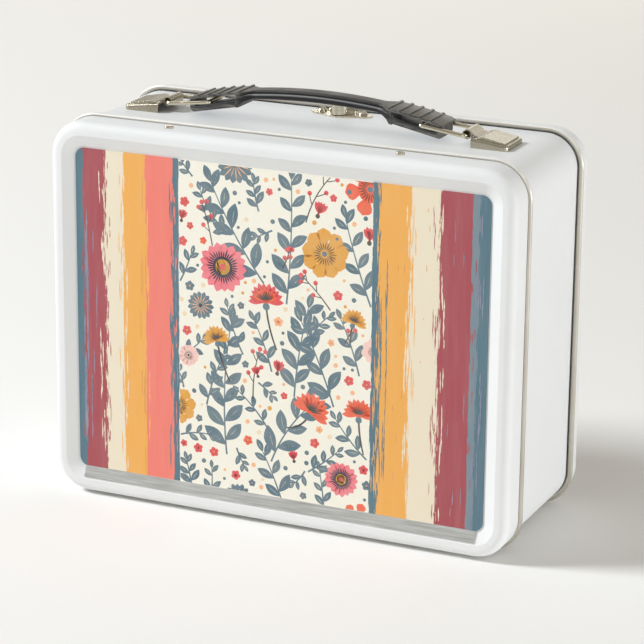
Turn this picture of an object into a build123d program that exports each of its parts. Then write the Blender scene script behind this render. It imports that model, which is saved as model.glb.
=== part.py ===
"""Metal lunch box: a tinplate box with a drop-down carrying grip, a rear lid and a top latch.

Frame: millimetres, +X to the right of the picture side, +Y towards the lid, +Z up.
The origin is the middle of the footprint, on the plane that the box stands on.
"""
import os
from math import atan2, degrees, sqrt

from build123d import *

os.makedirs("parts", exist_ok=True)

# ---------------------------------------------------------------- driving dimensions
cover_width = 222.0  # outside of the covers' skirts
cover_height = 174.0
total_depth = 93.0
corner_radius = 16.0
sheet = 0.4  # tinplate
face_edge_radius = 4.0

bead_radius = 1.2  # rolled rims
bead_stand = 0.25  # the rims' centre line stands out from the covers' surface
bead_seam = 0.25  # open joint between a cover's skirt and its rim
foot_flat = 0.12  # the rims are worn flat where the box stands
front_skirt = 14.15  # face to seam
lid_skirt = 10.55

band_inset = 1.2  # the band lies below the covers' surface
neck_inset = 2.1  # the band's necks enter the covers
neck_length = 6.0
band_gap = 1.6  # rolled rim's centre to the band's edge

rim_width = 6.0  # flat border round the pressed recess
bevel_width = 5.6
recess_depth = 2.75
plate_thickness = 0.5
plate_margin = 0.35

grip_crown = 15.5  # heights above the band's top surface
grip_arc_radius = 265.0
wire_radius = 1.0
loop_pivot = (72.2, 4.4)  # out from the middle, and above the band's top surface
loop_bar = (51.0, 7.05)
leg_spacing = 15.0

running_gap = 0.3  # between bodies that move past each other
pin_gap = 0.05  # radial clearance of the pins

# ---------------------------------------------------------------- derived places
hinge_z = bead_radius + bead_stand - foot_flat
mid_z = hinge_z + cover_height / 2
front_y = -total_depth / 2
rear_y = total_depth / 2
front_bead_y = front_y + front_skirt + bead_seam + bead_radius
lid_bead_y = rear_y - lid_skirt - bead_seam - bead_radius
band_width = cover_width - 2 * band_inset
band_height = cover_height - 2 * band_inset
band_radius = corner_radius - band_inset
band_front_y = front_bead_y + band_gap
band_rear_y = lid_bead_y - band_gap
band_top = mid_z + band_height / 2
band_bottom = mid_z - band_height / 2
cover_top = mid_z + cover_height / 2
cover_bottom = mid_z - cover_height / 2


def upright(y, height=mid_z):
    """A plane facing the picture side, with +X right and +Z up, at depth y."""
    return Plane(origin=(0, y, height), x_dir=(1, 0, 0), z_dir=(0, -1, 0))


def save(builder, name):
    """Label one finished piece and write it."""
    builder.part.label = name
    export_step(builder.part, f"parts/{name}.step")


def rivet(head_radius, head_height, shank_radius, shank_length, tail_radius, tail_height):
    """A domed rivet along +Z: the head stands on Z = 0, the shank goes down to a flat tail."""
    dome = (head_radius**2 + head_height**2) / (2 * head_height)
    with BuildPart() as one:
        with BuildSketch(Plane.XZ):
            with BuildLine():
                rim = (head_radius, 0)
                crown = (0, head_height)
                RadiusArc(rim, crown, -dome)
                Polyline(
                    crown,
                    (0, -shank_length - tail_height),
                    (tail_radius, -shank_length - tail_height),
                    (tail_radius, -shank_length),
                    (shank_radius, -shank_length),
                    (shank_radius, 0),
                    rim,
                )
            make_face()
        revolve(axis=Axis.Z)
    return one.part


# ---------------------------------------------------------------- covers
recess_width = cover_width - 2 * rim_width
recess_height = cover_height - 2 * rim_width
recess_radius = corner_radius - rim_width
floor_width = recess_width - 2 * bevel_width
floor_height = recess_height - 2 * bevel_width
floor_radius = recess_radius - bevel_width

stud_places = [(-55.0, -38.5), (55.0, -38.5)]
stud_shank = 0.8

# front cover: drawn shell with a pressed recess for the picture plate
face_plane = upright(front_y)
with BuildPart() as front_cover:
    with BuildSketch(face_plane):
        RectangleRounded(cover_width, cover_height, corner_radius)
    extrude(amount=-front_skirt)
    fillet(front_cover.faces().sort_by(Axis.Y)[0].edges(), face_edge_radius)
    with BuildSketch(face_plane):
        RectangleRounded(recess_width, recess_height, recess_radius)
    with BuildSketch(face_plane.offset(-recess_depth)):
        RectangleRounded(floor_width, floor_height, floor_radius)
    loft(mode=Mode.SUBTRACT)
    offset(amount=-sheet, openings=front_cover.faces().sort_by(Axis.Y)[-1])
    with BuildSketch(Plane.XY.offset(cover_top)):
        with Locations(*stud_places):
            Circle(stud_shank)
    extrude(amount=-sheet, mode=Mode.SUBTRACT)
save(front_cover, "front_cover")

# oval-headed studs in the top of the front cover's skirt, peened inside
stud_head = (4.2, 3.0, 1.1)  # length, width, height
stud_tail = (1.2, 0.4)  # radius, height
with BuildPart() as cover_studs:
    with BuildSketch(Plane.XY.offset(cover_top)):
        with Locations(*stud_places):
            SlotOverall(stud_head[0], stud_head[1])
    extrude(amount=stud_head[2])
    fillet(cover_studs.faces().filter_by(Axis.Z).sort_by(Axis.Z)[-2:].edges(), stud_head[2] / 2)
    with BuildSketch(Plane.XY.offset(cover_top)):
        with Locations(*stud_places):
            Circle(stud_shank)
    extrude(amount=-sheet)
    with BuildSketch(Plane.XY.offset(cover_top - sheet)):
        with Locations(*stud_places):
            Circle(stud_tail[0])
    extrude(amount=-stud_tail[1])
save(cover_studs, "cover_studs")

# rear lid: the same drawing without the plate, hollow towards the band. Its sheet has holes for
# its rivets: hinge rivets below, latch rivets on top
hinge_x = 55.0
hinge_centres = (-hinge_x, hinge_x)
hinge_rivet_x = 6.0
hinge_shank = 0.8
lid_rivet_y = lid_bead_y + 4.9
lid_rivet_places = [(x + s * hinge_rivet_x, lid_rivet_y) for x in hinge_centres for s in (-1, 1)]
hasp_shank = 0.8
hasp_rivet_x = 8.6
hasp_rivet_y = rear_y - face_edge_radius - 3.0
hasp_rivet_places = [(-hasp_rivet_x, hasp_rivet_y), (hasp_rivet_x, hasp_rivet_y)]
lid_plane = upright(rear_y)
with BuildPart() as rear_lid:
    with BuildSketch(lid_plane):
        RectangleRounded(cover_width, cover_height, corner_radius)
    extrude(amount=lid_skirt)
    fillet(rear_lid.faces().sort_by(Axis.Y)[-1].edges(), face_edge_radius)
    with BuildSketch(lid_plane):
        RectangleRounded(recess_width, recess_height, recess_radius)
    with BuildSketch(lid_plane.offset(recess_depth)):
        RectangleRounded(floor_width, floor_height, floor_radius)
    loft(mode=Mode.SUBTRACT)
    offset(amount=-sheet, openings=rear_lid.faces().sort_by(Axis.Y)[0])
    with BuildSketch(Plane.XY.offset(cover_bottom + sheet)):
        with Locations(*lid_rivet_places):
            Circle(hinge_shank)
    extrude(amount=-sheet, mode=Mode.SUBTRACT)
    with BuildSketch(Plane.XY.offset(cover_top)):
        with Locations(*hasp_rivet_places):
            Circle(hasp_shank)
    extrude(amount=-sheet, mode=Mode.SUBTRACT)
save(rear_lid, "rear_lid")

# ---------------------------------------------------------------- rolled rims
flange_length = 3.0  # thin tail of a rim, tucked inside the cover's skirt
flange_sheet = 0.4


def rim_ring(y, inward):
    """The closed rolled rim at depth y, worn flat at the foot; inward is the side of its flange."""
    path_width = cover_width + 2 * bead_stand
    path_height = cover_height + 2 * bead_stand
    flange_width = cover_width - 2 * sheet
    flange_height = cover_height - 2 * sheet
    flange_radius = corner_radius - sheet
    with BuildPart() as ring:
        with BuildLine(upright(y)) as path:
            FilletPolyline(
                (-path_width / 2, -path_height / 2),
                (path_width / 2, -path_height / 2),
                (path_width / 2, path_height / 2),
                (-path_width / 2, path_height / 2),
                radius=corner_radius + bead_stand,
                close=True,
            )
        with BuildSketch(Plane(origin=path.line @ 0, z_dir=path.line % 0)):
            Circle(bead_radius)
        sweep()
        with BuildSketch(upright(y)):
            RectangleRounded(flange_width, flange_height, flange_radius)
            RectangleRounded(
                flange_width - 2 * flange_sheet,
                flange_height - 2 * flange_sheet,
                flange_radius - flange_sheet,
                mode=Mode.SUBTRACT,
            )
        extrude(amount=-inward * flange_length)
        with BuildSketch(Plane.XY):
            with Locations((0, y)):
                Rectangle(2 * cover_width, 4 * bead_radius)
        extrude(amount=-bead_radius, mode=Mode.SUBTRACT)
    return ring.part


hinge_notch = 22.0
hinge_width = hinge_notch - 2 * running_gap

with BuildPart() as front_bead:
    add(rim_ring(front_bead_y, -1))
save(front_bead, "front_bead")

# the lid's rim is cut away at the two hinges, whose axis lies in the rim
with BuildPart() as lid_bead:
    add(rim_ring(lid_bead_y, 1))
    with Locations(*[(x, lid_bead_y, hinge_z) for x in hinge_centres]):
        Box(hinge_notch, 3 * flange_length, 4 * bead_radius, mode=Mode.SUBTRACT)
save(lid_bead, "lid_bead")

# ---------------------------------------------------------------- picture plate
plate_width = floor_width - 2 * plate_margin
plate_height = floor_height - 2 * plate_margin
lip_length = 5.2
lip_inset = 3.0
lip_width = plate_width - 2 * lip_inset
lip_thickness = 0.4
lip_clear = 0.05
bevel_length = sqrt(bevel_width**2 + recess_depth**2)
floor_y = front_y + recess_depth

with BuildPart() as picture_panel:
    with BuildSketch(upright(floor_y)):
        RectangleRounded(plate_width, plate_height, floor_radius)
    extrude(amount=plate_thickness)
    # bare lower lip, bent forward over the lower bevel
    down = Vector(0, -recess_depth, -bevel_width) / bevel_length
    out = Vector(0, -bevel_width, recess_depth) / bevel_length
    corner = Vector(0, floor_y, mid_z - floor_height / 2)
    lower_edge = mid_z - plate_height / 2 + lip_thickness
    lip_points = [
        Vector(0, floor_y, lower_edge),
        corner + out * lip_clear,
        corner + down * lip_length + out * lip_clear,
        corner + down * lip_length + out * (lip_clear + lip_thickness),
        Vector(0, floor_y - plate_thickness, lower_edge),
    ]
    with BuildSketch(Plane.YZ):
        with BuildLine():
            Polyline(*[(p.Y, p.Z) for p in lip_points], close=True)
        make_face()
    extrude(amount=lip_width / 2, both=True)
save(picture_panel, "picture_panel")

# ---------------------------------------------------------------- body band
neck_width = cover_width - 2 * neck_inset
neck_height = cover_height - 2 * neck_inset
neck_radius = corner_radius - neck_inset
neck_front_y = band_front_y - neck_length
neck_rear_y = band_rear_y + neck_length

body_rivet_y = band_rear_y - 6.5
body_rivet_places = [(x + s * hinge_rivet_x, body_rivet_y) for x in hinge_centres for s in (-1, 1)]

latch_y = 25.4
latch_rivet_x = 10.0
latch_shank = 0.95
latch_rivet_places = [(s * latch_rivet_x, latch_y) for s in (-1, 1)]

bracket_half = 9.8
bracket_sheet = 0.7
prong_x = 82.0
prong_length = 4.0
prong_places = [
    (sx * prong_x, sy * (bracket_half - bracket_sheet / 2)) for sx in (-1, 1) for sy in (-1, 1)
]

with BuildPart() as body_band:
    with BuildSketch(upright(band_front_y)):
        RectangleRounded(band_width, band_height, band_radius)
    extrude(amount=band_front_y - band_rear_y)
    with BuildSketch(upright(neck_front_y)):
        RectangleRounded(neck_width, neck_height, neck_radius)
    extrude(amount=neck_front_y - neck_rear_y)
    with BuildSketch(upright(band_front_y + sheet)):
        RectangleRounded(band_width - 2 * sheet, band_height - 2 * sheet, band_radius - sheet)
    extrude(amount=band_front_y - band_rear_y + 2 * sheet, mode=Mode.SUBTRACT)
    with BuildSketch(upright(neck_front_y)):
        RectangleRounded(neck_width - 2 * sheet, neck_height - 2 * sheet, neck_radius - sheet)
    extrude(amount=neck_front_y - neck_rear_y, mode=Mode.SUBTRACT)
    # holes for the hinge rivets, the latch rivets and the brackets' prongs
    with BuildSketch(Plane.XY.offset(band_bottom + sheet)):
        with Locations(*body_rivet_places):
            Circle(hinge_shank)
    extrude(amount=-sheet, mode=Mode.SUBTRACT)
    with BuildSketch(Plane.XY.offset(band_top)):
        with Locations(*latch_rivet_places):
            Circle(latch_shank)
        with Locations(*prong_places):
            Rectangle(prong_length, bracket_sheet)
    extrude(amount=-sheet, mode=Mode.SUBTRACT)
save(body_band, "body_band")

# ---------------------------------------------------------------- lid hinges
knuckle_radius = 1.15
pin_radius = 0.7
leaf_sheet = 0.5
lid_knuckle = 6.8
body_leaf_length = 12.0
lid_leaf_front = lid_bead_y + bead_radius + running_gap
lid_leaf_rear = rear_y - face_edge_radius - running_gap


def hinge_bore(x):
    """Open the pin's bore through the knuckles at x."""
    with Locations(Location((x, lid_bead_y, hinge_z), (0, 90, 0))):
        Cylinder(pin_radius + pin_gap, hinge_notch, mode=Mode.SUBTRACT)


for side, x in (("left", -hinge_x), ("right", hinge_x)):
    with BuildPart() as hinge_body_leaf:
        with BuildSketch(Plane.YZ.offset(x)):
            with Locations((lid_bead_y, hinge_z)):
                Circle(knuckle_radius)
            with Locations((lid_bead_y, band_bottom)):
                Rectangle(body_leaf_length, leaf_sheet, align=(Align.MAX, Align.MAX))
        extrude(amount=hinge_width / 2, both=True)
        # clear the middle for the lid's knuckle
        with Locations((x, lid_bead_y - 1.5 * knuckle_radius, hinge_z)):
            Box(
                lid_knuckle + 2 * running_gap,
                4 * knuckle_radius,
                4 * knuckle_radius,
                align=(Align.CENTER, Align.MIN, Align.CENTER),
                mode=Mode.SUBTRACT,
            )
        hinge_bore(x)
        with BuildSketch(Plane.XY.offset(band_bottom)):
            with Locations(*[p for p in body_rivet_places if p[0] * x > 0]):
                Circle(hinge_shank)
        extrude(amount=-leaf_sheet, mode=Mode.SUBTRACT)
    save(hinge_body_leaf, f"hinge_body_leaf_{side}")

    with BuildPart() as hinge_lid_leaf:
        with BuildSketch(Plane.YZ.offset(x)):
            with Locations((lid_bead_y, hinge_z)):
                Circle(knuckle_radius)
            with Locations((lid_bead_y, cover_bottom)):
                Rectangle(lid_leaf_front - lid_bead_y, leaf_sheet, align=(Align.MIN, Align.MAX))
        extrude(amount=lid_knuckle / 2, both=True)
        with BuildSketch(Plane.XY.offset(cover_bottom)):
            with Locations((x, lid_leaf_front)):
                Rectangle(
                    hinge_width, lid_leaf_rear - lid_leaf_front, align=(Align.CENTER, Align.MIN)
                )
            with Locations(*[p for p in lid_rivet_places if p[0] * x > 0]):
                Circle(hinge_shank, mode=Mode.SUBTRACT)
        extrude(amount=-leaf_sheet)
        hinge_bore(x)
    save(hinge_lid_leaf, f"hinge_lid_leaf_{side}")

    with BuildPart() as hinge_pin:
        with BuildSketch(Plane.YZ.offset(x)):
            with Locations((lid_bead_y, hinge_z)):
                Circle(pin_radius)
        extrude(amount=hinge_width / 2, both=True)
    save(hinge_pin, f"hinge_pin_{side}")

hinge_head = (1.5, 0.55)
hinge_tail = (1.3, 0.4)
hinge_rivet = rivet(*hinge_head, hinge_shank, leaf_sheet + sheet, *hinge_tail)

heads_down = (180, 0, 0)

with BuildPart() as hinge_body_rivets:
    head_z = band_bottom - leaf_sheet
    with Locations(*[Location((*place, head_z), heads_down) for place in body_rivet_places]):
        add(hinge_rivet)
save(hinge_body_rivets, "hinge_body_rivets")

with BuildPart() as hinge_lid_rivets:
    head_z = cover_bottom - leaf_sheet
    with Locations(*[Location((*place, head_z), heads_down) for place in lid_rivet_places]):
        add(hinge_rivet)
save(hinge_lid_rivets, "hinge_lid_rivets")

# ---------------------------------------------------------------- latch
latch_sheet = 0.8
latch_top = band_top + latch_sheet
nose_radius = 4.0
nose_y = 22.4
nose_wall = 0.8
nose_top = band_top + 6.4
nose_bottom = latch_top + running_gap

lens_radii = (11.0, 7.2)
lobe_radius = 4.3  # round each rivet
tip_radius = 1.6
side_tip = (13.4, -0.6)  # from the lens's middle
front_tip_y = -6.4
scroll_place = (6.4, 2.2)
scroll_radius = 1.5
scroll_height = 0.9

# ornate plate on the band: a lens with two rivet lobes, three tips and two raised scrolls
with BuildPart() as latch_plate:
    with BuildSketch(Plane.XY.offset(band_top)):
        with Locations((0, latch_y)):
            Ellipse(*lens_radii)
            with Locations((-latch_rivet_x, 0), (latch_rivet_x, 0)):
                Circle(lobe_radius)
            with Locations((-side_tip[0], side_tip[1]), side_tip, (0, front_tip_y)):
                Circle(tip_radius)
        with Locations(*latch_rivet_places):
            Circle(latch_shank, mode=Mode.SUBTRACT)
    extrude(amount=latch_sheet)
    with BuildSketch(Plane.XY.offset(latch_top)):
        with Locations((0, latch_y)):
            with Locations((-scroll_place[0], scroll_place[1]), scroll_place):
                Circle(scroll_radius)
    extrude(amount=scroll_height)
    fillet(latch_plate.faces().sort_by(Axis.Z)[-2:].edges(), scroll_height / 2)
save(latch_plate, "latch_plate")

latch_head = (2.3, 1.8)
latch_tail = (1.6, 0.5)
with BuildPart() as latch_rivets:
    with Locations(*[(*place, latch_top) for place in latch_rivet_places]):
        add(rivet(*latch_head, latch_shank, latch_sheet + sheet, *latch_tail))
save(latch_rivets, "latch_rivets")

# leaf on the lid with two ears that hold the arm's pin
hasp_sheet = 0.5
hasp_knuckle = 1.25
hasp_y = lid_bead_y + 4.9
hasp_z = cover_top + hasp_sheet + running_gap + hasp_knuckle
arm_half = 3.2
leaf_knuckle = 3.0
hasp_leaf_half = 11.2
hasp_leaf_front = lid_bead_y + bead_radius + running_gap
hasp_leaf_rear = rear_y - face_edge_radius - 0.1

with BuildPart() as hasp_leaf:
    with BuildSketch(Plane.XY.offset(cover_top)):
        with Locations((0, (hasp_leaf_front + hasp_leaf_rear) / 2)):
            SlotOverall(2 * hasp_leaf_half, hasp_leaf_rear - hasp_leaf_front)
        with Locations(*hasp_rivet_places):
            Circle(hasp_shank, mode=Mode.SUBTRACT)
    extrude(amount=hasp_sheet)
    cheek_middle = arm_half + running_gap + leaf_knuckle / 2
    with BuildSketch(Plane.YZ.offset(-cheek_middle), Plane.YZ.offset(cheek_middle)):
        with Locations((hasp_y, hasp_z)):
            Circle(hasp_knuckle)
            Rectangle(
                2 * hasp_knuckle, hasp_knuckle + running_gap, align=(Align.CENTER, Align.MAX)
            )
            Circle(pin_radius + pin_gap, mode=Mode.SUBTRACT)
    extrude(amount=leaf_knuckle / 2, both=True)
save(hasp_leaf, "hasp_leaf")

hasp_head = (1.5, 0.7)
with BuildPart() as hasp_rivets:
    with Locations(*[(*place, cover_top + hasp_sheet) for place in hasp_rivet_places]):
        add(rivet(*hasp_head, hasp_shank, hasp_sheet + sheet, *hinge_tail))
save(hasp_rivets, "hasp_rivets")

with BuildPart() as hasp_pin:
    with BuildSketch(Plane.YZ):
        with Locations((hasp_y, hasp_z)):
            Circle(pin_radius)
    extrude(amount=cheek_middle + leaf_knuckle / 2, both=True)
save(hasp_pin, "hasp_pin")

# arm with a drum-like finger pull at its end
with BuildPart() as hasp_arm:
    with BuildSketch(Plane.XY.offset(nose_bottom)):
        with Locations((0, nose_y)):
            Circle(nose_radius)
            Circle(nose_radius - nose_wall, mode=Mode.SUBTRACT)
    extrude(amount=nose_top - nose_bottom)
    with BuildSketch(Plane.XY.offset(nose_top)):
        with Locations((0, nose_y)):
            Circle(nose_radius)
    extrude(amount=-nose_wall)
    fillet(hasp_arm.edges().filter_by(GeomType.CIRCLE).sort_by(Axis.Z)[-1], nose_wall / 2)
    with BuildSketch(Plane.YZ):
        with Locations((hasp_y, hasp_z)):
            Circle(hasp_knuckle)
        with Locations((hasp_y, hasp_z + hasp_knuckle)):
            Rectangle(
                hasp_y - nose_y - nose_radius + nose_wall / 2,
                latch_sheet,
                align=(Align.MAX, Align.MAX),
            )
        with Locations((hasp_y, hasp_z)):
            Circle(pin_radius + pin_gap, mode=Mode.SUBTRACT)
    extrude(amount=arm_half, both=True)
save(hasp_arm, "hasp_arm")

# ---------------------------------------------------------------- handle
side_plane = upright(0, band_top)


def arc_drop(x, radius=grip_arc_radius):
    """How far an arc about the grip's middle has dropped at x."""
    return radius - sqrt(radius**2 - x**2)


grip_end = 61.7
grip_half = 8.2  # at the ribbed ends
waist_half = 5.7  # in the middle
waist_x = 30.0
flare_x = 37.0
plate_depth = 1.15
block_end = 39.2
tongue_half = 6.0
tongue_slope = 0.245
tongue_at_40 = 8.4
tongue_end = 58.9
under_crown = 11.2
under_x = 27.0
under_drop = 0.9
heel = (37.9, 6.0)
toe = (59.6, 1.35)
toe_end = (61.2, 3.4)
toe_bulge = (60.9, 1.9)
heel_bulge = (33.6, 9.0)
flare_share = 0.32  # how far the flare has opened at its middle
web_lap = 0.5
rib_count = 5
rib_start = 36.9
rib_pitch = 4.9
rib_width = 1.3
rib_height = 0.75


def tongue_top(x):
    """Height of the tongue's upper face."""
    return tongue_at_40 - tongue_slope * (x - 40.0)


def plate_under(x):
    """Height of the ribbed plate's lower face."""
    return grip_crown - arc_drop(x) - plate_depth


def lower_line(x):
    """Height of the grip's lower face between heel and toe."""
    return heel[1] + (toe[1] - heel[1]) * (x - heel[0]) / (toe[0] - heel[0])


with BuildPart() as handle_grip:
    # bridge and ribbed end plates
    with BuildSketch(side_plane):
        with BuildLine():
            top_end = (grip_end, grip_crown - arc_drop(grip_end))
            plate_end = (grip_end, plate_under(grip_end))
            plate_start = (block_end, plate_under(block_end))
            under_end = (under_x, under_crown - under_drop)
            RadiusArc((0, grip_crown), top_end, grip_arc_radius)
            Line(top_end, plate_end)
            RadiusArc(plate_end, plate_start, -(grip_arc_radius - plate_depth))
            Polyline(plate_start, (block_end, lower_line(block_end)), heel)
            under_middle = (under_x / 2, under_crown - under_drop / 4)
            ThreePointArc(heel, heel_bulge, under_end)
            ThreePointArc(under_end, under_middle, (0, under_crown))
            Line((0, under_crown), (0, grip_crown))
        make_face()
        mirror(about=Plane.YZ)
    extrude(amount=grip_half, both=True)
    # waist: narrower between the ribbed ends
    with BuildSketch(Plane.XY.offset(band_top)):
        for side in (-1, 1):
            with BuildLine():
                middle_x = (waist_x + flare_x) / 2
                middle_y = side * (waist_half + (grip_half - waist_half) * flare_share)
                cut_y = side * 2 * grip_half
                edge_y = side * grip_half
                narrow_y = side * waist_half
                Line((-waist_x, narrow_y), (waist_x, narrow_y))
                ThreePointArc((waist_x, narrow_y), (middle_x, middle_y), (flare_x, edge_y))
                Polyline((flare_x, edge_y), (flare_x, cut_y), (-flare_x, cut_y), (-flare_x, edge_y))
                ThreePointArc((-flare_x, edge_y), (-middle_x, middle_y), (-waist_x, narrow_y))
            make_face()
    extrude(amount=2 * grip_crown, mode=Mode.SUBTRACT)
    # tongue under each end plate, joined to it by a web: the wire's bar lies between them
    with BuildSketch(side_plane):
        with BuildLine():
            Polyline(
                (block_end - web_lap, tongue_top(block_end - web_lap)),
                (tongue_end, tongue_top(tongue_end)),
                (tongue_end, plate_under(tongue_end) + web_lap),
                (toe_end[0], plate_under(toe_end[0]) + web_lap),
                toe_end,
            )
            ThreePointArc(toe_end, toe_bulge, toe)
            Polyline(
                toe,
                (block_end - web_lap, lower_line(block_end - web_lap)),
                (block_end - web_lap, tongue_top(block_end - web_lap)),
            )
        make_face()
        mirror(about=Plane.YZ)
    extrude(amount=tongue_half, both=True)
    # five transverse ribs at each end
    for side in (-1, 1):
        for i in range(rib_count):
            rib_x = rib_start + i * rib_pitch
            tilt = degrees(atan2(rib_x, grip_arc_radius))
            rib_z = band_top + grip_crown - arc_drop(rib_x)
            with Locations(Location((side * rib_x, 0, rib_z), (0, side * tilt, 0))):
                Box(rib_width, 2 * grip_half, 2 * rib_height)
save(handle_grip, "handle_grip")

# ---------------------------------------------------------------- wire loops and brackets
pivot_x, pivot_h = loop_pivot
bar_x, bar_h = loop_bar
loop_length = sqrt((pivot_x - bar_x) ** 2 + (bar_h - pivot_h) ** 2)
bend_radius = 1.4
curl_centre = (72.45, 4.95)
curl_inner = 1.65
curl_outer = 2.2
curl_half = leg_spacing / 2 - bend_radius - 0.1
strap_top = (73.8, 6.7)  # where the strap leaves the curl
strap_foot = (76.2, 4.8)
strap_root = (78.0, 3.95)
bracket_in = 75.6
bracket_out = 92.5
bracket_tall = 4.3
bracket_low = 2.3
bracket_corner = 1.6
bracket_lip = 1.0
crown_in = 78.0
crown_out = 91.0
crown_peak = (80.6, 4.95)
crown_rise = (3.4, 4.3)  # heights of the crowned panel's inner end
crown_fall = (1.4, 3.05)  # heights of its outer end
crown_half = 8.4
clinch = 2.8  # length of a prong's bent end


def across(side, points):
    """The same outline for the left (-1) or the right (1) bracket."""
    return [(side * x, height) for x, height in points]


for name, side in (("left", -1), ("right", 1)):
    pivot = Vector(side * pivot_x, 0, band_top + pivot_h)
    leg = Vector(side * (bar_x - pivot_x), 0, bar_h - pivot_h).normalized()
    loop_plane = Plane(origin=pivot, x_dir=leg, z_dir=leg.cross(Vector(0, 1, 0)))
    with BuildPart() as wire_loop:
        with BuildLine(loop_plane) as wire:
            FilletPolyline(
                (0, -leg_spacing / 2),
                (loop_length, -leg_spacing / 2),
                (loop_length, leg_spacing / 2),
                (0, leg_spacing / 2),
                radius=bend_radius,
                close=True,
            )
        with BuildSketch(Plane(origin=wire.line @ 0, z_dir=wire.line % 0)):
            Circle(wire_radius)
        sweep()
    save(wire_loop, f"wire_loop_{name}")

    with BuildPart() as bracket:
        # wedge cap, open underneath and at its inner end
        with BuildSketch(side_plane):
            wedge = [
                (bracket_in, 0),
                (bracket_in, bracket_tall),
                (bracket_out, bracket_low),
                (bracket_out, 0),
            ]
            with BuildLine():
                Polyline(*across(side, wedge), close=True)
            make_face()
        extrude(amount=bracket_half, both=True)
        outer_face = bracket.faces().sort_by(Axis.X)[-1 if side > 0 else 0]
        fillet(outer_face.edges().filter_by(Axis.Z), bracket_corner)
        outer_face = bracket.faces().sort_by(Axis.X)[-1 if side > 0 else 0]
        fillet(outer_face.edges().sort_by(Axis.Z)[-1], bracket_lip)
        # crowned panel pressed up out of the deck
        with BuildSketch(side_plane):
            crown = [
                (crown_in, crown_rise[0]),
                (crown_in, crown_rise[1]),
                crown_peak,
                (crown_out, crown_fall[1]),
                (crown_out, crown_fall[0]),
            ]
            with BuildLine():
                Polyline(*across(side, crown), close=True)
            make_face()
        extrude(amount=crown_half, both=True)
        inner_face = bracket.faces().filter_by(Axis.X).sort_by(Axis.X)[0 if side > 0 else -1]
        floor_face = bracket.faces().filter_by(Axis.Z).sort_by(Axis.Z)[0]
        offset(amount=-bracket_sheet, openings=[inner_face, floor_face])
        # strap and curl that hold the wire loop
        with BuildSketch(side_plane):
            curl_sheet = curl_outer - curl_inner
            strap = [
                strap_top,
                strap_foot,
                strap_root,
                (bracket_in, bracket_tall - curl_sheet),
                (bracket_in, strap_foot[1] - curl_sheet / 2),
                (strap_top[0] - curl_sheet * 0.6, strap_top[1] - curl_sheet * 0.8),
            ]
            with Locations((side * curl_centre[0], curl_centre[1])):
                Circle(curl_outer)
            with BuildLine():
                Polyline(*across(side, strap), close=True)
            make_face()
            with Locations((side * curl_centre[0], curl_centre[1])):
                Circle(curl_inner, mode=Mode.SUBTRACT)
        extrude(amount=curl_half, both=True)
        # prongs through the band, clinched inwards
        for sy in (-1, 1):
            prong_y = sy * (bracket_half - bracket_sheet / 2)
            clinch_y = prong_y - sy * clinch / 2
            with Locations((side * prong_x, prong_y, band_top)):
                Box(
                    prong_length,
                    bracket_sheet,
                    sheet + bracket_sheet,
                    align=(Align.CENTER, Align.CENTER, Align.MAX),
                )
            with Locations((side * prong_x, clinch_y, band_top - sheet)):
                Box(
                    prong_length,
                    clinch + bracket_sheet,
                    bracket_sheet,
                    align=(Align.CENTER, Align.CENTER, Align.MAX),
                )
    save(bracket, f"bracket_{name}")

# ---------------------------------------------------------------- figures for the joints
rest_angle = atan2(bar_h - pivot_h, pivot_x - bar_x)
print("lid hinge", 0, lid_bead_y, hinge_z)
print("hasp hinge", 0, hasp_y, hasp_z)
print("loop pivot", pivot_x, 0, band_top + pivot_h, "rest angle", degrees(rest_angle))
print("band top", band_top, "cover top", cover_top, "loop length", loop_length)
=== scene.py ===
"""Looks for the metal lunch box: materials, printed picture, moulded grip, studio and camera."""

import math
import random

import bmesh
import bpy
from mathutils import Matrix, Vector


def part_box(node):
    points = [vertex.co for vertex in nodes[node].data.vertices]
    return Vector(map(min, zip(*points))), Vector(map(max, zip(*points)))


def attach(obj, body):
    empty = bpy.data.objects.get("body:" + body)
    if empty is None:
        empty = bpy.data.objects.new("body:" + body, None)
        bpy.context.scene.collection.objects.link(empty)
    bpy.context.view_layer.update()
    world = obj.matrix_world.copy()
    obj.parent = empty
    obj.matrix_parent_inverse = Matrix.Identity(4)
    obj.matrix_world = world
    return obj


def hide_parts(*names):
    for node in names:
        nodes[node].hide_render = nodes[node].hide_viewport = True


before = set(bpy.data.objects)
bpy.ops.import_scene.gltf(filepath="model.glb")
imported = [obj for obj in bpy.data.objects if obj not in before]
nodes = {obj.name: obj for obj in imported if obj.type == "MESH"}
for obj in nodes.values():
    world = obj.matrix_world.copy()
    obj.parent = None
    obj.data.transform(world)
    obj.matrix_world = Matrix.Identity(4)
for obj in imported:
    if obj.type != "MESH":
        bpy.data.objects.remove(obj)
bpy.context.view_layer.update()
scene = bpy.context.scene
mm = 0.001


# ---------------------------------------------------------------- camera
AZIMUTH = math.radians(24.12)
ELEVATION = math.radians(17.10)
ROLL = math.radians(0.586)
DISTANCE = 1.24838
TARGET = Vector((0, 0.0035, 0.09133))
TARGET_RIGHT = 0.000631
TARGET_UP = -0.00887
LENS = 153.9
SENSOR_WIDTH = 36.0
CLIP_NEAR = 0.01
CLIP_FAR = 50.0


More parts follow.
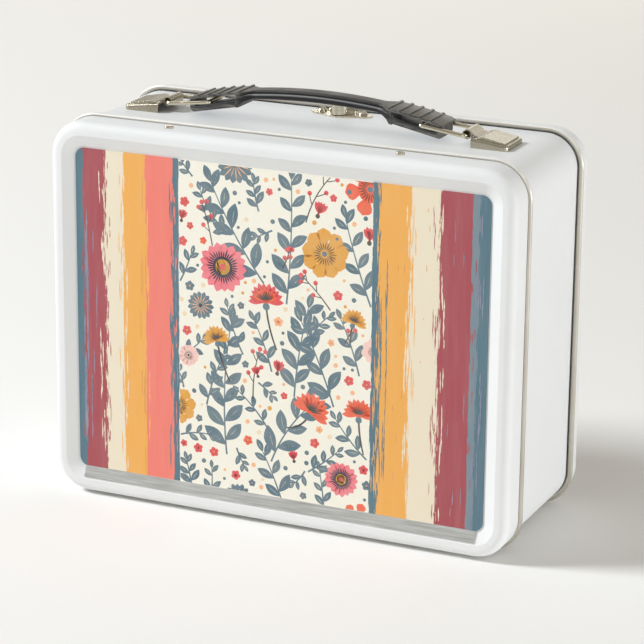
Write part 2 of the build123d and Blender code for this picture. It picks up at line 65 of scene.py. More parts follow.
def place_camera():
    """A long lens looking down at the picture side from the right."""
    back = Vector(
        (
            math.sin(AZIMUTH) * math.cos(ELEVATION),
            -math.cos(AZIMUTH) * math.cos(ELEVATION),
            math.sin(ELEVATION),
        )
    )
    right = (-back).cross(Vector((0, 0, 1))).normalized()
    up = right.cross(-back)
    target = TARGET + right * TARGET_RIGHT + up * TARGET_UP
    rolled_right = right * math.cos(ROLL) + up * math.sin(ROLL)
    rolled_up = up * math.cos(ROLL) - right * math.sin(ROLL)
    data = bpy.data.cameras.new("camera")
    data.lens = LENS
    data.sensor_width = SENSOR_WIDTH
    data.clip_start = CLIP_NEAR
    data.clip_end = CLIP_FAR
    camera = bpy.data.objects.new("camera", data)
    turn = Matrix((rolled_right, rolled_up, back)).transposed().to_4x4()
    camera.matrix_world = Matrix.Translation(target + back * DISTANCE) @ turn
    scene.collection.objects.link(camera)
    scene.camera = camera


place_camera()


# ---------------------------------------------------------------- node helpers
def srgb(r, g, b):
    """Linear colour of an 8-bit display colour."""
    out = []
    for value in (r, g, b):
        c = value / 255.0
        out.append(c / 12.92 if c <= 0.04045 else ((c + 0.055) / 1.055) ** 2.4)
    return (*out, 1.0)


def scaled(colour, light):
    """A colour made lighter or darker, kept in range and opaque."""
    return tuple(min(1.0, c * light) for c in colour[:3]) + (1.0,)


class Shader:
    """A small builder for node materials."""

    def __init__(self, name):
        self.material = bpy.data.materials.new(name)
        self.material.use_nodes = True
        self.tree = self.material.node_tree
        self.bsdf = self.tree.nodes["Principled BSDF"]
        self.position = self.add("ShaderNodeTexCoord").outputs["Object"]

    def add(self, kind, **settings):
        node = self.tree.nodes.new(kind)
        for key, value in settings.items():
            setattr(node, key, value)
        return node

    def link(self, source, target):
        self.tree.links.new(source, target)

    def put(self, target, value):
        """Link a socket, or set a plain value."""
        if isinstance(value, bpy.types.NodeSocket):
            self.link(value, target)
        else:
            target.default_value = value

    def set(self, **values):
        """Set or link inputs of the shader, with _ for each space in a name."""
        for key, value in values.items():
            self.put(self.bsdf.inputs[key.replace("_", " ")], value)

    def math(self, operation, a, b=0.0, c=0.0):
        node = self.add("ShaderNodeMath", operation=operation)
        for socket, value in zip(node.inputs, (a, b, c)):
            self.put(socket, value)
        return node.outputs[0]

    def split(self, vector=None):
        node = self.add("ShaderNodeSeparateXYZ")
        self.link(vector or self.position, node.inputs[0])
        return node.outputs

    def stretch(self, scale, shift=(0.0, 0.0, 0.0)):
        node = self.add("ShaderNodeMapping")
        self.link(self.position, node.inputs["Vector"])
        node.inputs["Scale"].default_value = scale
        node.inputs["Location"].default_value = shift
        return node.outputs[0]

    def noise(self, scale, detail=3.0, vector=None, rough=0.5):
        node = self.add("ShaderNodeTexNoise")
        self.link(vector or self.position, node.inputs["Vector"])
        node.inputs["Scale"].default_value = scale
        node.inputs["Detail"].default_value = detail
        node.inputs["Roughness"].default_value = rough
        return node.outputs["Fac"]

    def ramp(self, value, stops):
        """A colour ramp through (place, grey or colour) stops."""
        node = self.add("ShaderNodeValToRGB")
        elements = node.color_ramp.elements
        while len(elements) < len(stops):
            elements.new(1.0)
        for element, (place, colour) in zip(elements, stops):
            element.position = place
            element.color = colour if isinstance(colour, tuple) else (colour, colour, colour, 1.0)
        self.link(value, node.inputs[0])
        return node.outputs[0]

    def mix(self, factor, a, b):
        node = self.add("ShaderNodeMix", data_type="RGBA")
        self.put(node.inputs[0], factor)
        self.put(node.inputs[6], a)
        self.put(node.inputs[7], b)
        return node.outputs[2]

    def span(self, value, low, high, out_low, out_high):
        """Map low..high to out_low..out_high, clamped."""
        node = self.add("ShaderNodeMapRange")
        self.put(node.inputs[0], value)
        for index, number in enumerate((low, high, out_low, out_high), start=1):
            node.inputs[index].default_value = number
        return node.outputs[0]

    def bump(self, height, strength, distance, normal=None):
        node = self.add("ShaderNodeBump")
        node.inputs["Strength"].default_value = strength
        node.inputs["Distance"].default_value = distance
        self.link(height, node.inputs["Height"])
        if normal is not None:
            self.link(normal, node.inputs["Normal"])
        return node.outputs[0]


# ---------------------------------------------------------------- materials
NICKEL_EDGE = 0.25 * mm  # radius that the nickel's edges look rounded to
DUST_FROM, DUST_FULL = 0.026, 0.037  # out from the grip's middle, where the dust starts and is thickest
LEDGE_FROM, LEDGE_TO = 0.0042, 0.0047  # half width at which the painted highlight on the grip's side ledge begins
LEDGE_FULL, LEDGE_GONE = 0.030, 0.034  # out from the middle, where the ledge's painted highlight fades into the ends
TOP_FACE_FROM, TOP_FACE_TO = 2.6 * mm, 2.2 * mm  # below the grip's upper arc; upward faces lower than this stay black, as painted shade inside the grip's window
BAND_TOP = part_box("body_band")[1][2]
GRIP_ARC = 265.0  # radius of the grip's upper arc in mm
GRIP_CROWN = 15.5  # its middle above the band's top in mm


def white_enamel():
    """Satin stoving enamel on tinplate: slight orange peel, faint cloudiness and rubbing."""
    s = Shader("white_enamel")
    cloud = s.noise(14.0, 4.0)
    speck = s.noise(900.0, 2.0)
    base = s.mix(s.span(cloud, 0.3, 0.7, 0.0, 1.0), srgb(226, 227, 227), srgb(231, 232, 232))
    base = s.mix(s.ramp(speck, [(0.70, 0.0), (0.78, 0.12)]), base, srgb(206, 203, 196))
    rub = s.noise(60.0, 5.0, s.stretch((1.0, 1.0, 3.0)))
    peel = s.noise(420.0, 2.0)
    s.set(Base_Color=base, Roughness=s.span(rub, 0.3, 0.7, 0.46, 0.58))
    s.set(Normal=s.bump(peel, 0.10, 0.00006))
    s.set(Specular_IOR_Level=0.22)
    return s.material


def dull_tin():
    """Bare rolled tinplate, pale and satin, with faint drawing lines; its upward faces are painted near white
    and made less metallic, a painted highlight.
    """
    s = Shader("dull_tin")
    streak = s.noise(160.0, 4.0, s.stretch((1.0, 5.0, 1.0)))
    stain = s.noise(30.0, 4.0)
    up = s.split(s.add("ShaderNodeNewGeometry").outputs["Normal"])[2]
    base = s.mix(s.span(stain, 0.3, 0.7, 0.0, 1.0), srgb(186, 180, 168), srgb(200, 195, 184))
    # painted highlight: faces turned up are painted near white, standing in for the bright reflection along
    # the beads' tops; the sides keep the darker tin
    base = s.mix(s.span(up, 0.05, 0.45, 0.0, 1.0), base, srgb(232, 230, 225))
    base = s.mix(s.span(streak, 0.5, 0.8, 0.0, 0.45), base, srgb(186, 181, 170))
    # painted highlight: the upward faces are also made less metallic so that they read white
    s.set(Base_Color=base, Metallic=s.span(up, 0.05, 0.45, 0.62, 0.12))
    s.set(Roughness=s.span(streak, 0.3, 0.7, 0.30, 0.44))
    s.set(Normal=s.bump(streak, 0.08, 0.00003))
    return s.material


def nickel(name, light=1.0, rough=(0.20, 0.30), shade_inside=False, grain=0.03):
    """Warm nickel plate: soft brushed lines, faint stains, a few pits, softened edges.

    The faces of a hollow part that turn down or inward are painted dark and less metallic: painted shade
    inside it.
    """
    s = Shader(name)
    lines = s.noise(300.0, 4.0, s.stretch((1.0, 5.0, 5.0)))
    stain = s.noise(60.0, 4.0)
    pits = s.noise(900.0, 1.0)
    pale = scaled(srgb(208, 200, 182), light)
    dark = scaled(srgb(194, 185, 165), light)
    base = s.mix(s.span(stain, 0.35, 0.68, 0.0, 1.0), pale, dark)
    base = s.mix(s.ramp(pits, [(0.70, 0.0), (0.76, 0.2)]), base, srgb(130, 120, 104))
    if shade_inside:
        # painted shade: faces turned down or inward are painted dark brown and less metallic
        facing = s.split(s.add("ShaderNodeNewGeometry").outputs["Normal"])
        inward = s.math("MULTIPLY", facing[1], s.math("SIGN", s.split()[1]))
        below = s.math("LESS_THAN", facing[2], -0.5)
        inner_shade = s.math("MAXIMUM", below, s.math("LESS_THAN", inward, -0.8))
        base = s.mix(inner_shade, base, srgb(44, 38, 32))
        s.set(Base_Color=base, Metallic=s.span(inner_shade, 0.0, 1.0, 1.0, 0.2))
    else:
        s.set(Base_Color=base, Metallic=1.0)
    s.set(Roughness=s.span(lines, 0.3, 0.7, *rough))
    round_edge = s.add("ShaderNodeBevel", samples=6)
    round_edge.inputs["Radius"].default_value = NICKEL_EDGE
    s.set(Normal=s.bump(lines, grain, 0.00002, round_edge.outputs[0]))
    return s.material


def moulded_plastic():
    """Black moulded plastic: fine spark grain, dusty brown on top, sharp edges painted bright as wear and a
    painted highlight, a painted highlight on the side ledges and painted shade inside the window.
    """
    s = Shader("moulded_plastic")
    grain = s.noise(1400.0, 3.0)
    dust = s.noise(70.0, 5.0)
    scuff = s.noise(1.0, 4.0, s.stretch((120.0, 900.0, 900.0)))
    geometry = s.add("ShaderNodeNewGeometry")
    up = s.split(geometry.outputs["Normal"])[2]
    edge = s.ramp(geometry.outputs["Pointiness"], [(0.52, 0.0), (0.60, 0.55)])
    x, y, z = s.split()
    across = s.math("ABSOLUTE", x)
    ends = s.span(across, DUST_FROM, DUST_FULL, 0.35, 1.0)
    # painted shade: upward faces more than 2.2 to 2.6 mm below the upper arc get no brown and stay black,
    # standing in for the shade inside the grip's window
    crown = s.math("MULTIPLY_ADD", s.math("MULTIPLY", x, x), 0.5 / (GRIP_ARC * mm), z)
    arc_top = BAND_TOP + GRIP_CROWN * mm
    above = s.span(crown, arc_top - TOP_FACE_FROM, arc_top - TOP_FACE_TO, 0.0, 1.0)
    up = s.math("MULTIPLY", up, above)
    top = s.math("MULTIPLY", s.span(up, 0.45, 0.97, 0.0, 1.0), s.span(dust, 0.3, 0.7, 0.65, 1.0))
    base = s.mix(s.math("MULTIPLY", top, ends), srgb(33, 33, 36), srgb(106, 101, 92))
    # painted highlight: the upward side ledge beside the top face is painted pale grey, standing in for the
    # light it catches
    outward = s.span(s.math("ABSOLUTE", y), LEDGE_FROM, LEDGE_TO, 0.0, 1.0)
    ledge_highlight = s.math("MULTIPLY", s.span(up, 0.5, 0.9, 0.0, 0.85), outward)
    ledge_highlight = s.math("MULTIPLY", ledge_highlight, s.span(across, LEDGE_FULL, LEDGE_GONE, 1.0, 0.0))
    base = s.mix(ledge_highlight, base, srgb(158, 158, 160))
    # sharp edges painted pale in scuffed patches: partly wear, partly a painted highlight along the edges
    base = s.mix(s.math("MULTIPLY", edge, s.span(scuff, 0.35, 0.6, 0.3, 1.0)), base, srgb(150, 148, 143))
    s.set(Base_Color=base, Roughness=s.span(dust, 0.3, 0.7, 0.36, 0.5))
    s.set(Normal=s.bump(grain, 0.22, 0.00004))
    s.set(Specular_IOR_Level=0.27)
    return s.material


enamel = white_enamel()
tin = dull_tin()
nickel_plate = nickel("nickel_plate")
# painted shade and painted light: the brackets get a darker copy of the same nickel plate, and the wire loops
# a paler one
nickel_cap = nickel("nickel_cap", light=0.80, rough=(0.24, 0.30), shade_inside=True, grain=0.01)
nickel_wire = nickel("nickel_wire", light=1.25, rough=(0.12, 0.20))
plastic = moulded_plastic()

# ---------------------------------------------------------------- printed picture plate
FACE_TO_PLATE = 2.25 * mm  # the plate's printed face lies this far behind the cover's face
PLATE_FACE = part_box("front_cover")[0][1] + FACE_TO_PLATE
ART_BOTTOM = 13.5 * mm  # below this the plate is bare
TEAL = srgb(88, 121, 135)
PALE_TEAL = srgb(124, 141, 152)
CRIMSON = srgb(168, 80, 88)
CREAM = srgb(237, 225, 201)
MUSTARD = srgb(240, 175, 88)
CORAL = srgb(240, 130, 116)
PAPER = srgb(245, 241, 227)

# the stripes follow the photographed picture: left edge in mm, ink, how far the dry brush scatters
STRIPES = [
    (-95.4, CRIMSON, 1.6),
    (-84.4, CREAM, 2.6),
    (-75.4, MUSTARD, 1.0),
    (-64.2, CORAL, 0.7),
    (-50.6, TEAL, 1.3),
    (-47.6, PAPER, 0.6),
    (45.4, TEAL, 0.9),
    (48.6, MUSTARD, 2.6),
    (63.0, CREAM, 1.5),
    (76.4, CRIMSON, 1.8),
    (91.0, PALE_TEAL, 0.7),
    (94.2, TEAL, 1.4),
]


def printed_aluminium():
    """Lithographed stripes with dry-brush edges; the folded lower lip is bare brushed aluminium."""
    s = Shader("printed_aluminium")
    x, _, z = s.split()
    colour = TEAL
    for index, (edge, ink, scatter) in enumerate(STRIPES):
        shift = (index * 0.37, 0.0, index * 1.91)
        streak = s.noise(1.0, 4.0, s.stretch((1400.0, 1.0, 95.0), shift), 0.62)
        wander = s.noise(1.0, 3.0, s.stretch((1.0, 1.0, 60.0), shift))
        offset = s.math("MULTIPLY_ADD", streak, 3.2 * scatter * mm, -1.6 * scatter * mm)
        drift = s.math("MULTIPLY_ADD", wander, 1.2 * scatter * mm, -0.6 * scatter * mm)
        place = s.math("ADD", s.math("ADD", x, offset), drift)
        inside = s.math("GREATER_THAN", place, edge * mm)
        colour = s.mix(inside, colour, ink)
    # a faint wash along the strokes
    fade = s.noise(1.0, 4.0, s.stretch((260.0, 1.0, 24.0)), 0.6)
    colour = s.mix(s.ramp(fade, [(0.42, 0.0), (0.75, 0.05)]), colour, PAPER)
    tooth = s.noise(2600.0, 2.0)
    colour = s.mix(s.ramp(tooth, [(0.35, 0.10), (0.6, 0.0)]), colour, srgb(90, 84, 78))
    brushed = s.noise(1.0, 4.0, s.stretch((60.0, 4000.0, 4000.0)), 0.6)
    bare = s.ramp(brushed, [(0.3, srgb(206, 208, 206)), (0.7, srgb(238, 239, 237))])
    printed = s.math("GREATER_THAN", z, ART_BOTTOM)
    s.set(Base_Color=s.mix(printed, bare, colour))
    s.set(Metallic=s.span(printed, 0.0, 1.0, 1.0, 0.0))
    s.set(Roughness=s.math("MULTIPLY_ADD", printed, 0.06, s.span(brushed, 0.3, 0.7, 0.30, 0.44)))
    s.set(Normal=s.bump(brushed, 0.05, 0.00003))
    s.set(Specular_IOR_Level=0.35)
    return s.material


# ---------------------------------------------------------------- printed flowers
INK_FILM = 0.008 * mm
INK_STEP = 0.00003 * mm

# inks by name, as display colours
INKS = {
    "slate": srgb(98, 121, 133),
    "pale": srgb(186, 188, 172),
    "bark": srgb(80, 74, 70),
    "navy": srgb(48, 50, 68),
    "pink": srgb(238, 128, 138),
    "rose": srgb(224, 92, 94),
    "orange": srgb(236, 104, 74),
    "gold": srgb(226, 163, 70),
    "peach": srgb(244, 184, 138),
    "blush": srgb(244, 204, 194),
    "cream_dot": srgb(240, 214, 180),
    "crimson": CRIMSON,
    "cream": CREAM,
    "mustard": MUSTARD,
    "ochre": srgb(222, 158, 80),
    "coral": CORAL,
    "teal": TEAL,
    "violet": srgb(132, 134, 156),
}

SLATE = "slate"
PALE = "pale"
BARK = "bark"
NAVY = "navy"
PINK = "pink"
ROSE = "rose"
ORANGE = "orange"
GOLD = "gold"
PEACH = "peach"
BLUSH = "blush"
CREAM_DOT = "cream_dot"

PRINT_LEFT, PRINT_RIGHT = -47.4, 45.6
PRINT_LOW, PRINT_HIGH = 13.6, 163.2
FOOT_LEAF = 1.16  # the lowest leaves, against the sprig's leaf length
LEAF_PLUMP = 0.45  # width to length
LEAF_SPREAD = 44  # degrees away from the stem


class Print:
    """Flat printed shapes in mm across the plate: x to the right, z up, later shapes on top."""

    def __init__(self):
        self.shapes = []
        self.draw = random.Random(11)

    def shape(self, ink, points, left=PRINT_LEFT, right=PRINT_RIGHT):
        """Keep one outline, cut to the printed field."""
        for axis, limit, sign in (
            (0, left, 1),
            (0, right, -1),
            (1, PRINT_LOW, 1),
            (1, PRINT_HIGH, -1),
        ):
            kept = []
            for here, there in zip(points, points[1:] + points[:1]):
                a = sign * (here[axis] - limit)
                b = sign * (there[axis] - limit)
                if a >= 0:
                    kept.append(here)
                if a * b < 0:
                    t = a / (a - b)
                    kept.append(tuple(p + (q - p) * t for p, q in zip(here, there)))
            points = kept
            if len(points) < 3:
                return
        self.shapes.append((ink, points))

    def dot(self, x, z, radius, ink, sides=12):
        turn = 2 * math.pi / sides
        rim = [(x + radius * math.cos(i * turn), z + radius * math.sin(i * turn)) for i in range(sides)]
        self.shape(ink, rim)

    def blade(self, x, z, angle, length, width, ink, bow=0.0, blunt=1.0, steps=7):
        """A leaf or petal outline from its foot: blunt above 1 moves the widest place outward."""
        c = math.cos(math.radians(angle))
        s = math.sin(math.radians(angle))

        def at(t, side):
            along = t * length
            swell = math.sin(math.pi * t**blunt) ** 0.85 if 0 < t < 1 else 0.0
            off = bow * length * math.sin(math.pi * t) + side * swell * width / 2
            return (x + along * c - off * s, z + along * s + off * c)

        left = [at(i / steps, 1) for i in range(steps)]
        right = [at(1 - i / steps, -1) for i in range(steps)]
        self.shape(ink, left + right)

    def leaf(self, x, z, angle, length, width):
        """A slate leaf with a pale vein."""
        bow = self.draw.uniform(-0.06, 0.06)
        self.blade(x, z, angle, length, width, SLATE, bow, 1.08)
        c = math.cos(math.radians(angle))
        s = math.sin(math.radians(angle))
        foot = (x + 0.2 * length * c, z + 0.2 * length * s)
        self.blade(foot[0], foot[1], angle, 0.56 * length, 0.42, PALE, bow * 0.6, 1.0, 4)

    def stem(self, x, z, heading, length, turn, ink, wide=0.85, thin=0.45, steps=12):
        """A curved stem; returns its points with the heading at each."""
        places = [(x, z, heading)]
        for i in range(steps):
            angle = math.radians(heading + turn * (i + 0.5) / steps)
            px, pz, _ = places[-1]
            step = length / steps
            ahead = heading + turn * (i + 1) / steps
            places.append((px + step * math.cos(angle), pz + step * math.sin(angle), ahead))
        left, right = [], []
        for i, (px, pz, angle) in enumerate(places):
            half = (wide + (thin - wide) * i / steps) / 2
            nx, nz = -math.sin(math.radians(angle)), math.cos(math.radians(angle))
            left.append((px + nx * half, pz + nz * half))
            right.append((px - nx * half, pz - nz * half))
        for i in range(steps):
            self.shape(ink, [left[i], left[i + 1], right[i + 1], right[i]])
        return places

    def sprig(self, x, z, heading, length, turn, pairs, leaf):
        """A stem with leaves on both sides, smaller towards the tip, and one at the tip."""
        steps = 4 * pairs
        places = self.stem(x, z, heading, length, turn, SLATE, steps=steps)
        for i in range(pairs):
            t = (i + 0.55) / pairs
            size = FOOT_LEAF * leaf * (1.0 - 0.32 * t)
            for side in (1, -1):
                station = places[min(steps, 4 * i + (2 if side > 0 else 3))]
                angle = station[2] + side * (LEAF_SPREAD + self.draw.uniform(-7, 7))
                length_here = size * self.draw.uniform(0.88, 1.08)
                self.leaf(station[0], station[1], angle, length_here, length_here * LEAF_PLUMP)
        tip = places[-1]
        self.leaf(tip[0], tip[1], tip[2], leaf * 0.72, leaf * 0.72 * LEAF_PLUMP)

    def petals(self, x, z, radius, count, ink, width, start=0.0, arc=360.0, foot=0.12, blunt=1.9):
        """Petals round a middle, or over part of a turn."""
        step = arc / count if arc >= 360 else arc / (count - 1)
        for i in range(count):
            angle = start + i * step + self.draw.uniform(-2, 2)
            c, s = math.cos(math.radians(angle)), math.sin(math.radians(angle))
            reach = radius * self.draw.uniform(0.94, 1.04) * (1 - foot)
            root = (x + foot * radius * c, z + foot * radius * s)
            self.blade(*root, angle, reach, width, ink, 0, blunt, 8)

    def rays(self, x, z, inner, outer, count, ink, width, start=0.0, arc=360.0):
        """Fine lines outward from a middle."""
        step = arc / count if arc >= 360 else arc / (count - 1)
        for i in range(count):
            angle = start + i * step
            c, s = math.cos(math.radians(angle)), math.sin(math.radians(angle))
            reach = (outer - inner) * self.draw.uniform(0.8, 1.08)
            self.blade(x + inner * c, z + inner * s, angle, reach, width, ink, 0, 0.9, 4)

    def ringed_daisy(self, x, z, radius):
        self.petals(x, z, radius, 17, PINK, radius * 0.37)
        self.dot(x, z, radius * 0.55, PINK, 16)
        self.rays(x, z, radius * 0.36, radius * 0.68, 34, NAVY, radius * 0.07)
        self.dot(x, z, radius * 0.42, NAVY, 20)
        self.dot(x, z, radius * 0.31, GOLD, 18)
        self.dot(x, z, radius * 0.13, ROSE, 12)

    def open_flower(self, x, z, radius, ink=GOLD, count=9, heart=SLATE):
        self.petals(x, z, radius, count, ink, radius * 0.62, start=12, foot=0.05, blunt=2.3)
        self.dot(x, z, radius * 0.5, ink, 16)
        self.rays(x, z, radius * 0.14, radius * 0.52, 22, BARK, radius * 0.045)
        self.dot(x, z, radius * 0.11, heart, 10)

    def shaggy_daisy(self, x, z, radius):
        self.petals(x, z, radius, 15, SLATE, radius * 0.34)
        self.dot(x, z, radius * 0.4, SLATE, 12)
        self.rays(x, z, radius * 0.12, radius * 0.85, 15, PEACH, radius * 0.06, start=12)
        self.dot(x, z, radius * 0.12, NAVY, 8)

    def fan_flower(self, x, z, radius, heading, ink, inner, stem, turn):
        """A flower seen from the side, on its own stem."""
        back = math.radians(heading)
        foot = (x - radius * 0.28 * math.cos(back), z - radius * 0.28 * math.sin(back))
        self.stem(foot[0], foot[1], heading + 180, stem, turn, BARK, 0.9, 0.7)
        self.petals(x, z, radius, 11, ink, radius * 0.34, heading - 92, 184, foot=-0.25, blunt=1.7)
        if inner:
            short = radius * 0.72
            self.petals(x, z, short, 9, inner, radius * 0.26, heading - 70, 140, foot=-0.25, blunt=1.7)
        self.rays(x, z, radius * 0.05, radius * 0.6, 11, BARK, radius * 0.06, heading - 62, 124)
        self.dot(foot[0], foot[1], radius * 0.2, SLATE, 10)

    def bud(self, x, z, heading, size):
        self.petals(x, z, size, 5, ROSE, size * 0.42, heading - 34, 68, foot=-0.2, blunt=1.3)
        self.rays(x, z, 0, size * 0.7, 3, BARK, 0.3, heading - 22, 44)
        back = math.radians(heading)
        self.dot(x - 0.3 * size * math.cos(back), z - 0.3 * size * math.sin(back), size * 0.2, BARK, 8)

    def berries(self, x, z, heading, length, turn):
        """Rose berries on short twigs along a stem, and one at its tip."""
        places = self.stem(x, z, heading, length, turn, BARK, 0.6, 0.4)
        for i, side in ((4, 1), (6, -1), (9, 1), (10, -1)):
            px, pz, angle = places[i]
            twig = self.stem(px, pz, angle + side * 48, length * 0.2, side * -22, BARK, 0.45, 0.35, 4)
            self.dot(twig[-1][0], twig[-1][1], 1.1, ROSE, 10)
        self.dot(places[-1][0], places[-1][1], 1.15, ROSE, 10)

    def blossom(self, x, z, radius, ink, heart):
        start = self.draw.uniform(0, 72)
        for i in range(5):
            angle = math.radians(start + 72 * i)
            away = 0.56 * radius
            self.dot(x + away * math.cos(angle), z + away * math.sin(angle), radius * 0.42, ink, 9)
        self.dot(x, z, radius * 0.4, ink, 8)
        self.dot(x, z, radius * 0.2, heart, 7)


# dry-brush slivers beside the stripes' edges: x from, x to, how many, ink, shortest, longest, width
SLIVERS = (
    (-95.6, -93.6, 12, "violet", 12, 34, 0.8),
    (-96.8, -95.6, 5, "crimson", 5, 16, 0.4),
    (-92.5, -88.5, 7, "violet", 6, 22, 0.45),
    (-87.6, -85.2, 17, "cream", 3, 14, 0.46),
    (-84.0, -82.0, 15, "crimson", 3, 10, 0.4),
    (-77.6, -75.8, 10, "mustard", 4, 14, 0.4),
    (-75.2, -73.6, 12, "cream", 4, 18, 0.5),
    (-67.5, -64.6, 12, "ochre", 5, 24, 0.5),
    (-64.0, -62.6, 9, "mustard", 6, 22, 0.6),
    (-52.4, -50.8, 14, "teal", 5, 20, 0.45),
    (-50.4, -48.8, 15, "coral", 3, 12, 0.4),
    (-49.6, -48.2, 7, "violet", 4, 14, 0.4),
    (46.0, 48.2, 12, "mustard", 4, 18, 0.4),
    (49.0, 52.6, 14, "teal", 10, 46, 0.42),
    (55.5, 61.0, 8, "ochre", 2, 6, 0.5),
    (61.0, 62.8, 10, "cream", 5, 18, 0.5),
    (63.2, 65.6, 11, "mustard", 5, 20, 0.42),
    (67.0, 72.0, 5, "ochre", 1, 3, 0.25),
    (73.2, 76.2, 17, "crimson", 4, 14, 0.36),
    (76.8, 79.2, 13, "cream", 4, 18, 0.5),
    (81.0, 89.0, 8, "violet", 2, 14, 0.35),
    (91.4, 93.4, 8, "crimson", 3, 9, 0.45),
    (93.0, 96.4, 12, "violet", 6, 24, 0.55),
)
PLATE_REACH = 97.6


def dry_brush(p):
    """Slivers of each stripe's ink dragged along the edge of the next."""
    draw = random.Random(5)
    for left, right, count, ink, shortest, longest, width in SLIVERS:
        for _ in range(count):
            x = draw.uniform(left, right)
            length = draw.uniform(shortest, longest)
            z = draw.uniform(PRINT_LOW, PRINT_HIGH - 3 - length)
            steps = max(4, int(length / 1.6))
            lean = draw.uniform(-0.02, 0.02)
            one, other = [], []
            for i in range(steps + 1):
                t = i / steps
                half = width * min(1.0, 5 * t, 5 * (1 - t)) * draw.uniform(0.15, 0.6)
                middle = x + lean * length * t + draw.uniform(-0.12, 0.12)
                one.append((middle - half - 0.03, z + length * t))
                other.append((middle + half + 0.03, z + length * t))
            p.shape(ink, one + other[::-1], -PLATE_REACH, PLATE_REACH)


SMALL_INKS = ((ROSE, PEACH), (ROSE, PEACH), (ROSE, NAVY), (ORANGE, PEACH), (PEACH, ROSE), (SLATE, PEACH))
CELL = 6.0
LARGE_TRIES, LARGE_REACH = 500, 6.6  # random places tried for the larger twigs, and the room each needs
SMALL_TRIES, SMALL_REACH = 400, 4.6
FILL_SIZES = ((2.4, 1.0, 15), (1.8, 0.9, 14), (1.1, 0.9, 34), (0.75, 0.8, 34))  # radius, gap, how many
FILL_TRIES = 1600
BLOSSOM_LEAST = 1.5  # anything smaller is a plain dot


class Room:
    """Remembers where the field is already printed."""

    def __init__(self, art):
        self.draw = art.draw
        self.cells = {}
        for _, points in art.shapes:
            for x, z in points:
                self.take(x, z, 0.0)
            middle = [sum(q[i] for q in points) / len(points) for i in (0, 1)]
            self.take(*middle, 0.8)

    def anywhere(self):
        x = self.draw.uniform(PRINT_LEFT + 1, PRINT_RIGHT - 1)
        z = self.draw.uniform(PRINT_LOW + 1, PRINT_HIGH - 1)
        return x, z

    def take(self, x, z, radius):
        self.cells.setdefault((int(x // CELL), int(z // CELL)), []).append((x, z, radius))

    def free(self, x, z, reach):
        i, j = int(x // CELL), int(z // CELL)
        near = (self.cells.get((i + a, j + b), ()) for a in (-2, -1, 0, 1, 2) for b in (-2, -1, 0, 1, 2))
        return all((x - a) ** 2 + (z - b) ** 2 > (reach + r) ** 2 for cell in near for a, b, r in cell)


